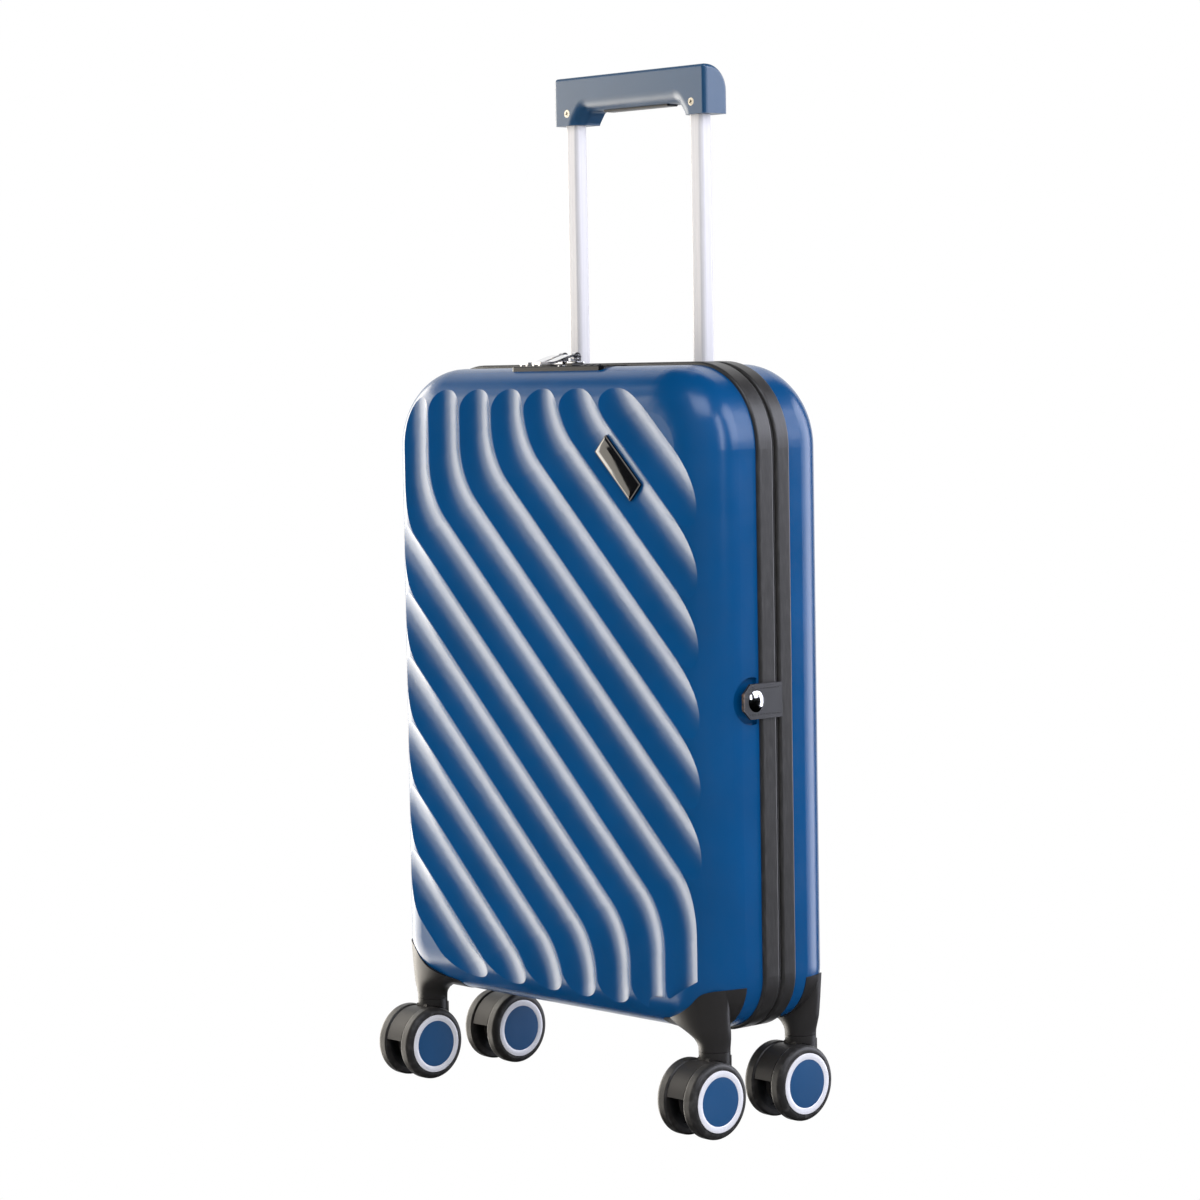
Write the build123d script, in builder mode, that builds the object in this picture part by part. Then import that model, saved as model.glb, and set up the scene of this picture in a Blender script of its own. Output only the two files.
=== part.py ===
"""Slim hard shell suitcase on four twin-wheel casters, with a telescopic handle.

Millimetres. X is the case's width, -Y its front and +Z up, with the wheels standing on z = 0.
"""
import os
from math import hypot, sqrt

from build123d import *

os.makedirs("parts", exist_ok=True)

# ---- case body ----
case_w = 356.0           # width over the shells
shell_h = 476.0          # height of the shells
shell_z = 71.0           # underside of the shells above the floor
case_d = 126.0           # front face to back face
mid_y = 10.5             # the body's middle plane; the trailing wheels reach further forward
corner_top = 60.0        # upper corners seen from the front
corner_low = 40.0        # lower corners
edge_r = 32.0            # rounding from the face to the sides
wall = 2.4               # shell wall
front_depth = 48.5       # front shell, face to rim
back_depth = 45.5        # back shell, face to rim
front_y = mid_y - case_d / 2
back_y = mid_y + case_d / 2
front_rim = front_y + front_depth
back_rim = back_y - back_depth
side_x = case_w / 2
top_z = shell_z + shell_h
mid_z = shell_z + shell_h / 2

# ---- flutes ----
flute_depth = 4.7        # valley below the face
flute_step_x = 36.65     # one flute to the next, sideways
flute_step_z = 14.4      # and upwards
flute_slope = 0.9657     # fall of the diagonal run per unit of width
flute_land = 1.0         # flat crest between two flutes
flute_bend = 62.0        # radius of each bend
flute_first, flute_last = -5, 7
top_run_x = -180.8       # vertical run of flute 0 above its bend
diagonal_z = 255.6       # height of flute 0's diagonal where x = 0
low_run_x = 110.2        # vertical run of flute 0 below its bend

# ---- zip ----
band_out = 2.5           # bands stand this far outside the shells
band_in = 4.0            # and reach this far inside
zip_gap = 3.0            # between the two bands
zip_y = front_rim + 15.5 + zip_gap / 2
front_band_y = zip_y - zip_gap / 2
rear_band_y = zip_y + zip_gap / 2
chain_split = 0.3        # between the two rows of the chain
band_top = top_z + band_out
spine_t = 1.4            # fabric spine strip on the hinge side
hinge_x = -(side_x + band_out + spine_t + 0.3)

# ---- lock ----
lock_w = 102.0
lock_y0 = front_y + 19.0
lock_y1 = front_rim - 0.8
lock_top = top_z + 0.8
lock_low = top_z - 13.0
dial_r, dial_t = 6.0, 4.2
dial_xs = (15.5, 22.5, 29.5)
dial_y = front_rim - 14.0
dial_z = lock_top - dial_r + 1.0
key_x, key_y, key_r = -9.0, front_rim - 14.0, 4.0
button_x, button_travel = 4.5, 2.5
slider_xs = {"left": -43.5, "right": -29.5}
pull_w, pull_t = 9.6, 1.8
pull_axis_z = band_top + 5.2

# ---- keeper strap ----
strap_z, strap_w, strap_t = 309.0, 25.0, 2.0
snap_y = front_rim - 7.2
snap_r = 7.6
dish_r, dish_depth = 17.0, 2.8
strap_x = side_x + band_out + 0.4

# ---- handle ----
leg_x, leg_y = 68.3, 52.3
leg_w, leg_d, leg_r = 13.5, 11.5, 3.2
leg_wall = 1.2
leg_low, leg_high = 306.0, 752.0
tube_gap = 0.3
tube_wall = 1.6
grip_w, grip_h, grip_low = 166.6, 36.0, leg_high - 21.4
grip_front, grip_back = 42.9, 66.3
arch_w, arch_h = 104.0, 9.7
release_w, release_d, release_t = 72.0, 10.6, 2.5
release_y, release_seat = leg_y + 4.0, grip_low + arch_h + 2.2
release_travel = 2.5
stow = 220.5             # how far the grip drops to lie in its cup
cup_y0, cup_y1, cup_x = 40.3, 69.0, 90.0
cup_floor = top_z - 38.0
tube_low = shell_z + 13.0

# ---- casters ----
swivel_x, swivel_dy = 157.7, 43.5
wheel_r, wheel_trail = 27.5, 13.2
tyre_in, tyre_out = 8.9, 19.1
hub_r = 22.6
collar_r, collar_z = 11.4, 60.0
brow_z = shell_z + 34.0  # top of the housings
stem_r, stem_top = 4.0, 84.0
axle_r, fit = 3.0, 0.05
foot_inset = 30.0        # housings end this far either side of the middle plane

# ---- badge ----
badge_l, badge_w, badge_t = 48.8, 17.4, 4.0
badge_x, badge_z, badge_turn = 84.5, 475.4, -42.0
badge_floor = 5.2


def outline(y, grow):
    """The case seen from the front, at depth y and grown by an offset."""
    with BuildSketch(Plane.XZ.offset(-y)) as shape:
        with Locations((0, mid_z)):
            Rectangle(case_w + 2 * grow, shell_h + 2 * grow)
        fillet(shape.vertices().group_by(Axis.Y)[-1], corner_top + grow)
        fillet(shape.vertices().group_by(Axis.Y)[0], corner_low + grow)
    return shape.sketch


def shell_block(grow, face_y, rim_y):
    """Half of the case as a solid: flat at the rim, its outer face rounded all round."""
    with BuildPart() as block:
        extrude(outline(rim_y, grow), amount=rim_y - face_y)
        face = block.faces().sort_by(Axis.Y)[0 if face_y < rim_y else -1]
        fillet(face.edges(), edge_r + grow)
    return block.part


def cut_flutes(face_y, toward, grow, mirrored):
    """Cuts every flute into the part being built; grow thickens the tool for the inside of the wall."""
    pitch = hypot(flute_step_x, flute_step_z)
    half = (pitch - flute_land) / 2
    radius = (half**2 + flute_depth**2) / (2 * flute_depth)
    above = 4.0
    reach = radius + grow
    centre = radius - flute_depth
    chord = sqrt(reach**2 - (centre - above) ** 2)
    side = -1 if mirrored else 1
    along = Vector(side * flute_step_x, 0, flute_step_z).normalized()
    for n in range(flute_first, flute_last + 1):
        high_x = top_run_x + flute_step_x * n
        low_x = low_run_x + flute_step_x * n
        run_z = diagonal_z + (flute_step_z + flute_slope * flute_step_x) * n
        high_z = run_z - flute_slope * high_x
        low_z = run_z - flute_slope * low_x
        start = Vector(side * high_x, face_y, max(high_z, top_z) + 70)
        with BuildLine() as path:
            FilletPolyline(
                start,
                (side * high_x, face_y, high_z),
                (side * low_x, face_y, low_z),
                (side * low_x, face_y, min(low_z, shell_z) - 70),
                radius=flute_bend,
            )
        section = Plane(origin=start, x_dir=along, z_dir=along.cross(Vector(0, 1, 0)))
        inward = -toward * section.y_dir.Y
        with BuildSketch(section) as scallop:
            with BuildLine():
                ThreePointArc(
                    (-chord, -above * inward),
                    (0, (flute_depth + grow) * inward),
                    (chord, -above * inward),
                )
                Line((chord, -above * inward), (-chord, -above * inward))
            make_face()
        sweep(scallop.sketch, path=path.line, normal=section.z_dir, mode=Mode.SUBTRACT)


def foot_outline(side):
    """Corner region taken up by a caster housing, seen from the front."""
    tip = (side * 122, shell_z + 8.5)
    brow = (side * 168, shell_z + 33)
    with BuildLine() as line:
        Polyline((side * 118, shell_z - 26), (side * 118, shell_z + 6), tip)
        Spline(
            tip,
            (side * 137, shell_z + 13.5),
            (side * 152, shell_z + 22),
            brow,
            tangents=((side, 0.25), (side, 0.05)),
        )
        Polyline(brow, (side * 196, shell_z + 34), (side * 196, shell_z - 26), (side * 118, shell_z - 26))
    return line.line


def ring(outer, inner, y0, y1, round_edges):
    """Closed band following the case's outline."""
    with BuildPart() as band:
        extrude(outline(y0, outer), amount=y0 - y1)
        fillet(band.faces().filter_by(Axis.Y).edges(), round_edges)
        extrude(outline(y0, inner), amount=y0 - y1, mode=Mode.SUBTRACT)
    return band.part


def save(part, name):
    part.label = name
    export_step(part, f"parts/{name}.step")


def pad_block(block, half_width, low):
    """The middle top of a half, left plain behind the handle cup."""
    with BuildPart() as pad:
        add(block)
        with BuildSketch(Plane.XZ.offset(-back_y - 10)):
            with Locations((0, low + 50)):
                RectangleRounded(2 * half_width, 100, 10)
        extrude(amount=back_y - back_rim + 20, mode=Mode.INTERSECT)
    return pad.part


# ---- shells ----
front_plain = shell_block(0, front_y, front_rim)
back_plain = shell_block(0, back_y, back_rim)
halves = (
    ("front_shell", front_plain, front_y, front_rim, -1, False),
    ("back_shell", back_plain, back_y, back_rim, 1, True),
)
for name, plain, face_y, rim_y, toward, mirrored in halves:
    side = -1 if mirrored else 1
    # plain ground where the flutes stop short of the caster corner
    with BuildPart() as guard:
        add(plain)
        with BuildSketch(Plane.XZ.offset(-face_y - toward * 10)):
            with BuildLine():
                FilletPolyline(
                    (side * 196, shell_z + 47),
                    (side * 165, shell_z + 44),
                    (side * 133, shell_z + 25.5),
                    (side * 112, shell_z + 24.5),
                    (side * 104, shell_z + 13),
                    (side * 116, shell_z - 9),
                    (side * 196, shell_z - 9),
                    radius=6,
                    close=True,
                )
            make_face()
        extrude(amount=toward * 40, mode=Mode.INTERSECT)

    inner = shell_block(-wall, face_y - toward * wall, rim_y - toward)
    with BuildPart() as core:
        add(inner)
        cut_flutes(face_y, toward, wall, mirrored)
        if name == "back_shell":
            add(pad_block(inner, cup_x + 4, cup_floor - 8))

    with BuildPart() as shell:
        add(plain)
        cut_flutes(face_y, toward, 0, mirrored)
        add(guard.part)
        if name == "back_shell":
            add(pad_block(plain, cup_x + 4 + wall, cup_floor - 8 - wall))
        add(core.part, mode=Mode.SUBTRACT)
        # openings for the caster housings
        for foot in (-1, 1):
            with BuildSketch(Plane.XZ.offset(-face_y - toward * 12)):
                make_face(foot_outline(foot).edges())
            extrude(amount=toward * (12 + case_d / 2 - foot_inset), mode=Mode.SUBTRACT)
        if name == "front_shell":
            # recess for the badge along a flute, on its own floor
            with BuildSketch(Plane(origin=(badge_x, front_y + badge_floor, badge_z), z_dir=(0, -1, 0))):
                with Locations(Rotation(0, 0, badge_turn)):
                    RectangleRounded(badge_l + 7, badge_w + 7, 4)
            extrude(amount=-2)
            with BuildSketch(Plane(origin=(badge_x, front_y + badge_floor, badge_z), z_dir=(0, -1, 0))):
                with Locations(Rotation(0, 0, badge_turn)):
                    RectangleRounded(badge_l + 1.6, badge_w + 1.6, 2)
            extrude(amount=20, mode=Mode.SUBTRACT)
            # opening for the lock
            with BuildSketch(Plane.XY.offset(lock_low)):
                with Locations((0, (lock_y0 + lock_y1) / 2)):
                    RectangleRounded(lock_w, lock_y1 - lock_y0, 4)
            extrude(amount=40, mode=Mode.SUBTRACT)
            # dish around the snap, on its own thicker floor
            with BuildSketch(Plane.YZ.offset(side_x - dish_depth - wall)):
                with Locations((snap_y, strap_z)):
                    Circle(dish_r + wall)
                with Locations((front_rim + 20, strap_z)):
                    Rectangle(40, 60, mode=Mode.SUBTRACT)
            extrude(amount=wall + 0.2)
            with BuildSketch(Plane.YZ.offset(side_x - dish_depth)):
                with Locations((snap_y, strap_z)):
                    Circle(dish_r)
                with Locations((front_rim + 18, strap_z)):
                    Rectangle(40, 60, mode=Mode.SUBTRACT)
            extrude(amount=20, mode=Mode.SUBTRACT)
        else:
            # opening for the handle cup
            with BuildSketch(Plane.XY.offset(cup_floor - 3)):
                with Locations((0, (cup_y0 + cup_y1) / 2)):
                    RectangleRounded(2 * cup_x, cup_y1 - cup_y0, 5)
            extrude(amount=60, mode=Mode.SUBTRACT)
    save(shell.part, name)

# ---- zip bands, chain rows and spine ----
with BuildPart() as front_band:
    add(ring(band_out, -band_in, front_rim, front_band_y, 2))
save(front_band.part, "front_band")

with BuildPart() as rear_band:
    add(ring(band_out, -band_in, rear_band_y, back_rim, 2))
save(rear_band.part, "rear_band")

rows = (
    ("front_chain", front_band_y, zip_y - chain_split / 2),
    ("rear_chain", zip_y + chain_split / 2, rear_band_y),
)
for name, y0, y1 in rows:
    with BuildPart() as chain:
        add(ring(0, -2.2, y0, y1, 0.4))
        # the chain stops at the spine
        with Locations((-side_x, zip_y, mid_z)):
            Box(20, 10, shell_h - 150, mode=Mode.SUBTRACT)
    save(chain.part, name)

spines = (
    ("front_spine", front_rim + 3, zip_y - chain_split / 2),
    ("rear_spine", zip_y + chain_split / 2, back_rim - 3),
)
for name, y0, y1 in spines:
    with BuildPart() as spine:
        with BuildSketch(Plane.YZ.offset(-side_x - band_out - spine_t)):
            with Locations(((y0 + y1) / 2, mid_z)):
                RectangleRounded(y1 - y0, shell_h - 160, 1.5)
        extrude(amount=spine_t)
    save(spine.part, name)

# ---- lock ----
with BuildPart() as lock_body:
    with BuildSketch(Plane.XY.offset(lock_low)):
        with Locations((0, (lock_y0 + lock_y1) / 2)):
            RectangleRounded(lock_w, lock_y1 - lock_y0, 4)
    extrude(amount=lock_top - lock_low)
    chamfer(lock_body.faces().sort_by(Axis.Z)[-1].edges(), 0.6)
    # wells for the dials, each on the one pin
    for x in dial_xs:
        with BuildSketch(Plane.YZ.offset(x - dial_t / 2 - 0.35)):
            with Locations((dial_y, dial_z)):
                Circle(dial_r + 0.5)
        extrude(amount=dial_t + 0.7, mode=Mode.SUBTRACT)
    with BuildSketch(Plane.YZ.offset(dial_xs[0] - 4)):
        with Locations((dial_y, dial_z)):
            Circle(1.2)
    extrude(amount=dial_xs[-1] - dial_xs[0] + 8)
    # seat of the key cylinder
    with Locations((key_x, key_y, lock_top)):
        Hole(key_r + 0.3, depth=6)
    # slideway of the release button
    with Locations((button_x + button_travel / 2, dial_y, lock_top - 1.5)):
        Box(7 + button_travel, 13, 5, mode=Mode.SUBTRACT)
    # catch slots for the two pulls
    for x in slider_xs.values():
        with Locations((x, lock_y0 + 9, lock_top)):
            Box(pull_w + 1.4, 4.6, 3, mode=Mode.SUBTRACT)
save(lock_body.part, "lock_body")

for n, x in enumerate(dial_xs):
    with BuildPart() as dial:
        with BuildSketch(Plane.YZ.offset(x - dial_t / 2)):
            with Locations((dial_y, dial_z)):
                Circle(dial_r)
                Circle(1.2 + fit, mode=Mode.SUBTRACT)
        extrude(amount=dial_t)
        # finger notches between the ten figures
        with Locations((x, dial_y, dial_z)):
            with Locations(*[Rotation(36 * k + 18, 0, 0) * Location((0, 0, dial_r + 0.35)) for k in range(10)]):
                Cylinder(0.8, dial_t + 1, rotation=(0, 90, 0), mode=Mode.SUBTRACT)
    save(dial.part, f"dial_{n + 1}")

with BuildPart() as key_cylinder:
    with BuildSketch(Plane.XY.offset(lock_top - 6)):
        with Locations((key_x, key_y)):
            Circle(key_r)
    extrude(amount=6.5)
    fillet(key_cylinder.faces().sort_by(Axis.Z)[-1].edges(), 0.4)
    with Locations((key_x, key_y, lock_top + 0.5)):
        Box(1.0, 4.4, 5, mode=Mode.SUBTRACT)
save(key_cylinder.part, "key_cylinder")

with BuildPart() as lock_button:
    with BuildSketch(Plane.XY.offset(lock_top - 4)):
        with Locations((button_x, dial_y)):
            Rectangle(7, 12.6)
    extrude(amount=6.2)
    fillet(lock_button.faces().sort_by(Axis.Z)[-1].edges(), 1.2)
save(lock_button.part, "lock_button")

# ---- sliders and pulls ----
for name, x in slider_xs.items():
    with BuildPart() as slider:
        # plate over the bands, neck through the gap, bridge that carries the pull
        with BuildSketch(Plane.XY.offset(band_top)):
            with Locations((x, zip_y)):
                RectangleRounded(12.6, 9, 2.5)
        extrude(amount=2)
        fillet(slider.faces().sort_by(Axis.Z)[-1].edges(), 0.6)
        with Locations((x, zip_y, band_top - 1.2)):
            Box(9, 2, 2.4)
        with BuildSketch(Plane.YZ.offset(x - 2)):
            with BuildLine():
                Polyline((zip_y - 3.4, band_top + 1.5), (zip_y + 3.4, band_top + 1.5), (zip_y + 3.4, pull_axis_z))
                ThreePointArc(
                    (zip_y + 3.4, pull_axis_z), (zip_y, pull_axis_z + 3.4), (zip_y - 3.4, pull_axis_z)
                )
                Line((zip_y - 3.4, pull_axis_z), (zip_y - 3.4, band_top + 1.5))
            make_face()
            with Locations((zip_y, pull_axis_z)):
                Circle(1.9, mode=Mode.SUBTRACT)
        extrude(amount=4)
    save(slider.part, f"slider_{name}")

    tip_y = lock_y0 + 7
    with BuildPart() as pull:
        with BuildSketch(Plane.YZ.offset(x - pull_w / 2)):
            with BuildLine():
                # S-curve from the slider down to the lock, upper side then lower
                for rise in (pull_t / 2, -pull_t / 2):
                    Spline(
                        (zip_y, pull_axis_z + rise),
                        (zip_y - 9, pull_axis_z + 0.4 + rise),
                        (zip_y - 21, band_top + 2.2 + rise),
                        (tip_y, lock_top + 2.4 + rise),
                        tangents=((-1, 0.4), (-1, 0)),
                    )
                Line((tip_y, lock_top + 2.4 + pull_t / 2), (tip_y, lock_top + 2.4 - pull_t / 2))
                ThreePointArc(
                    (zip_y, pull_axis_z + pull_t / 2),
                    (zip_y + 1.4, pull_axis_z),
                    (zip_y, pull_axis_z - pull_t / 2),
                )
            make_face()
        extrude(amount=pull_w)
        # room for the slider's bridge, then the pin through it
        with Locations((x, zip_y + 1, pull_axis_z)):
            Box(4.7, 10.2, 12, mode=Mode.SUBTRACT)
        with BuildSketch(Plane.YZ.offset(x - pull_w / 2 + 0.5)):
            with Locations((zip_y, pull_axis_z)):
                Circle(1.5)
        extrude(amount=pull_w - 1)
        # hooks over the catch slots
        for hook in (-1, 1):
            with Locations((x + hook * 3.2, tip_y + 1, lock_top + 1.4)):
                Box(1.8, 2.4, 2.0)
    save(pull.part, f"pull_{name}")

# ---- badge ----
badge_plane = Plane(origin=(badge_x, front_y + badge_floor, badge_z), z_dir=(0, -1, 0))
with BuildPart() as badge:
    with BuildSketch(badge_plane):
        with Locations(Rotation(0, 0, badge_turn)):
            Rectangle(badge_l, badge_w)
    extrude(amount=1.4)
    # broad bevels rising to a flat bar
    for height, inset in ((1.4, 0), (badge_t, 4.0)):
        with BuildSketch(badge_plane.offset(height)):
            with Locations(Rotation(0, 0, badge_turn)):
                Rectangle(badge_l - 2 * inset, badge_w - 2 * inset)
    loft()
save(badge.part, "badge")

# ---- keeper strap and snap ----
strap_tip = snap_y - 12.6
strap_root = rear_band_y - 1.4
with BuildPart() as keeper_strap:
    with BuildSketch(Plane.YZ.offset(strap_x)):
        with BuildLine():
            FilletPolyline(
                (strap_root, strap_z - strap_w / 2),
                (strap_root, strap_z + strap_w / 2),
                (strap_tip + 7, strap_z + strap_w / 2),
                (strap_tip, strap_z + 5.5),
                (strap_tip, strap_z - 5.5),
                (strap_tip + 7, strap_z - strap_w / 2),
                radius=0.8,
                close=True,
            )
        make_face()
    extrude(amount=strap_t)
    with Locations(Plane(origin=(strap_x + strap_t, snap_y, strap_z), z_dir=(1, 0, 0))):
        Hole(4.0)
save(keeper_strap.part, "keeper_strap")

# end of the strap turned in and sewn against the rear band
with BuildPart() as strap_root_tab:
    with Locations((strap_x + strap_t - 1.9, (strap_root + rear_band_y) / 2, strap_z)):
        Box(3.8, rear_band_y - strap_root, strap_w)
save(strap_root_tab.part, "strap_root")

with BuildPart() as snap_cap:
    with BuildSketch(Plane.XZ.offset(-snap_y)):
        with BuildLine():
            Line((strap_x + 0.3, strap_z), (strap_x + strap_t + 1.9, strap_z))
            ThreePointArc(
                (strap_x + strap_t + 1.9, strap_z),
                (strap_x + strap_t + 1.35, strap_z + snap_r * 0.62),
                (strap_x + strap_t, strap_z + snap_r),
            )
            Polyline(
                (strap_x + strap_t, strap_z + snap_r),
                (strap_x + strap_t, strap_z + 4.0),
                (strap_x + 0.3, strap_z + 4.0),
                (strap_x + 0.3, strap_z),
            )
        make_face()
    revolve(axis=Axis((0, snap_y, strap_z), (1, 0, 0)))
save(snap_cap.part, "snap_cap")

stud_x = side_x - dish_depth
with BuildPart() as snap_stud:
    with BuildSketch(Plane.YZ.offset(stud_x)):
        with Locations((snap_y, strap_z)):
            Circle(4.8)
    extrude(amount=1.4)
    with BuildSketch(Plane.YZ.offset(stud_x + 1.4)):
        with Locations((snap_y, strap_z)):
            Circle(3.2)
    extrude(amount=strap_x - stud_x - 1.4 - 0.4)
    fillet(snap_stud.faces().sort_by(Axis.X)[-1].edges(), 0.8)
save(snap_stud.part, "snap_stud")

# ---- handle ----
with BuildPart() as grip:
    with BuildSketch(Plane.YZ.offset(-grip_w / 2)):
        with Locations(((grip_front + grip_back) / 2, grip_low + grip_h / 2)):
            Rectangle(grip_back - grip_front, grip_h)
    extrude(amount=grip_w)
    # finger arch between the two lobes
    with BuildSketch(Plane.XZ.offset(-grip_front + 20)):
        with BuildLine():
            FilletPolyline(
                (-arch_w / 2 - 6, grip_low - 10),
                (-arch_w / 2 - 4.5, grip_low + 1),
                (-arch_w / 2 + 2, grip_low + arch_h),
                (arch_w / 2 - 2, grip_low + arch_h),
                (arch_w / 2 + 4.5, grip_low + 1),
                (arch_w / 2 + 6, grip_low - 10),
                radius=4.5,
            )
            Line((arch_w / 2 + 6, grip_low - 10), (-arch_w / 2 - 6, grip_low - 10))
        make_face()
    extrude(amount=-80, mode=Mode.SUBTRACT)
    back_top = grip.edges().filter_by(Axis.X).sort_by(lambda e: e.center().Z + e.center().Y)[-1]
    fillet(back_top, 19)
    front_top = grip.edges().filter_by(Axis.X).sort_by(lambda e: e.center().Z - e.center().Y)[-1]
    fillet(front_top, 2.5)
    fillet(grip.edges().filter_by(Axis.Z).sort_by(Axis.Y)[:2], 3.4)
    under = grip.faces().filter_by(Axis.Z).sort_by(lambda f: abs(f.center().Z - grip_low - arch_h))[0]
    fillet(under.edges().filter_by(Axis.X).sort_by(Axis.Y)[0], 10)
    # sockets for the legs
    for side in (-1, 1):
        with BuildSketch(Plane.XY.offset(grip_low)):
            with Locations((side * leg_x, leg_y)):
                RectangleRounded(leg_w, leg_d, leg_r)
        extrude(amount=leg_high - grip_low, mode=Mode.SUBTRACT)
        # countersunk seats for the screws
        with Locations(Plane(origin=(side * leg_x, grip_front, grip_low + 9), z_dir=(0, -1, 0))):
            Hole(1.6, depth=leg_y - grip_front + 2)
            Hole(3.0, depth=1.6)
    # mouth and wider chamber of the release button
    with BuildSketch(Plane.XY.offset(grip_low + arch_h - 2)):
        with Locations((0, release_y)):
            RectangleRounded(release_w + 0.8, release_d + 0.8, 2)
    extrude(amount=6, mode=Mode.SUBTRACT)
    with BuildSketch(Plane.XY.offset(release_seat)):
        with Locations((0, release_y)):
            RectangleRounded(release_w + 4.8, release_d + 4.0, 2)
    extrude(amount=release_t + release_travel + 0.7, mode=Mode.SUBTRACT)
save(grip.part, "grip")

with BuildPart() as grip_button:
    with BuildSketch(Plane.XY.offset(grip_low + arch_h - 1.4)):
        with Locations((0, release_y)):
            RectangleRounded(release_w, release_d, 1.8)
    extrude(amount=release_seat - grip_low - arch_h + 1.4)
    fillet(grip_button.faces().sort_by(Axis.Z)[0].edges(), 1.0)
    # flange resting on the chamber's floor
    with BuildSketch(Plane.XY.offset(release_seat)):
        with Locations((0, release_y)):
            RectangleRounded(release_w + 4.0, release_d + 3.2, 1.8)
    extrude(amount=release_t)
save(grip_button.part, "grip_button")

sides = (("left", -1), ("right", 1))
with BuildPart() as grip_screws:
    for name, side in sides:
        with BuildSketch(Plane.XZ.offset(-grip_front)):
            with Locations((side * leg_x, grip_low + 9)):
                Circle(2.95)
        extrude(amount=-1.6)
        with BuildSketch(Plane.XZ.offset(-grip_front - 1.6)):
            with Locations((side * leg_x, grip_low + 9)):
                Circle(1.55)
        extrude(amount=-(leg_y - grip_front - leg_d / 2 + leg_wall - 1.6 + 1))
        # cross recess
        for turn in (0, 90):
            with BuildSketch(Plane.XZ.offset(-grip_front)):
                with Locations(Location((side * leg_x, grip_low + 9, 0), (0, 0, turn + 20))):
                    Rectangle(3.4, 0.8)
            extrude(amount=-1.0, mode=Mode.SUBTRACT)
save(grip_screws.part, "grip_screws")

for name, side in sides:
    with BuildPart() as leg:
        with BuildSketch(Plane.XY.offset(leg_low)):
            with Locations((side * leg_x, leg_y)):
                RectangleRounded(leg_w, leg_d, leg_r)
                RectangleRounded(
                    leg_w - 2 * leg_wall, leg_d - 2 * leg_wall, leg_r - leg_wall, mode=Mode.SUBTRACT
                )
        extrude(amount=leg_high - leg_low)
        with Locations(Plane(origin=(side * leg_x, leg_y - leg_d / 2, grip_low + 9), z_dir=(0, -1, 0))):
            Hole(1.6, depth=3)
    save(leg.part, f"leg_{name}")

    with BuildPart() as outer_tube:
        with BuildSketch(Plane.XY.offset(tube_low)):
            with Locations((side * leg_x, leg_y)):
                bore_w = leg_w + 2 * tube_gap
                bore_d = leg_d + 2 * tube_gap
                RectangleRounded(bore_w + 2 * tube_wall, bore_d + 2 * tube_wall, leg_r + tube_gap + tube_wall)
                RectangleRounded(bore_w, bore_d, leg_r + tube_gap, mode=Mode.SUBTRACT)
        extrude(amount=cup_floor - 2 - tube_low)
    save(outer_tube.part, f"outer_tube_{name}")

# cup that takes the grip when it is pushed down; its mouth follows the shell
with BuildPart() as handle_cup:
    add(shell_block(1.0, back_y + 1.0, back_rim))
    with BuildSketch(Plane.XY.offset(cup_floor - 2)):
        with Locations((0, (cup_y0 + cup_y1) / 2)):
            RectangleRounded(2 * cup_x, cup_y1 - cup_y0, 5)
    extrude(amount=80, mode=Mode.INTERSECT)
    with BuildSketch(Plane.XY.offset(cup_floor)):
        with Locations((0, (cup_y0 + cup_y1) / 2)):
            RectangleRounded(2 * cup_x - 3.2, cup_y1 - cup_y0 - 3.2, 3.5)
    extrude(amount=80, mode=Mode.SUBTRACT)
    for name, side in sides:
        with BuildSketch(Plane.XY.offset(cup_floor - 2)):
            with Locations((side * leg_x, leg_y)):
                RectangleRounded(leg_w + 2 * tube_gap, leg_d + 2 * tube_gap, leg_r + tube_gap)
        extrude(amount=2, mode=Mode.SUBTRACT)
save(handle_cup.part, "handle_cup")

# foot that ties both outer tubes to the bottom of the back shell
with BuildPart() as tube_base:
    add(shell_block(-wall, back_y - wall, back_rim - 1))
    with BuildSketch(Plane.XY.offset(shell_z)):
        with Locations((0, leg_y)):
            RectangleRounded(2 * leg_x + 30, 22, 3)
    extrude(amount=tube_low - shell_z, mode=Mode.INTERSECT)
save(tube_base.part, "tube_base")

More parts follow.
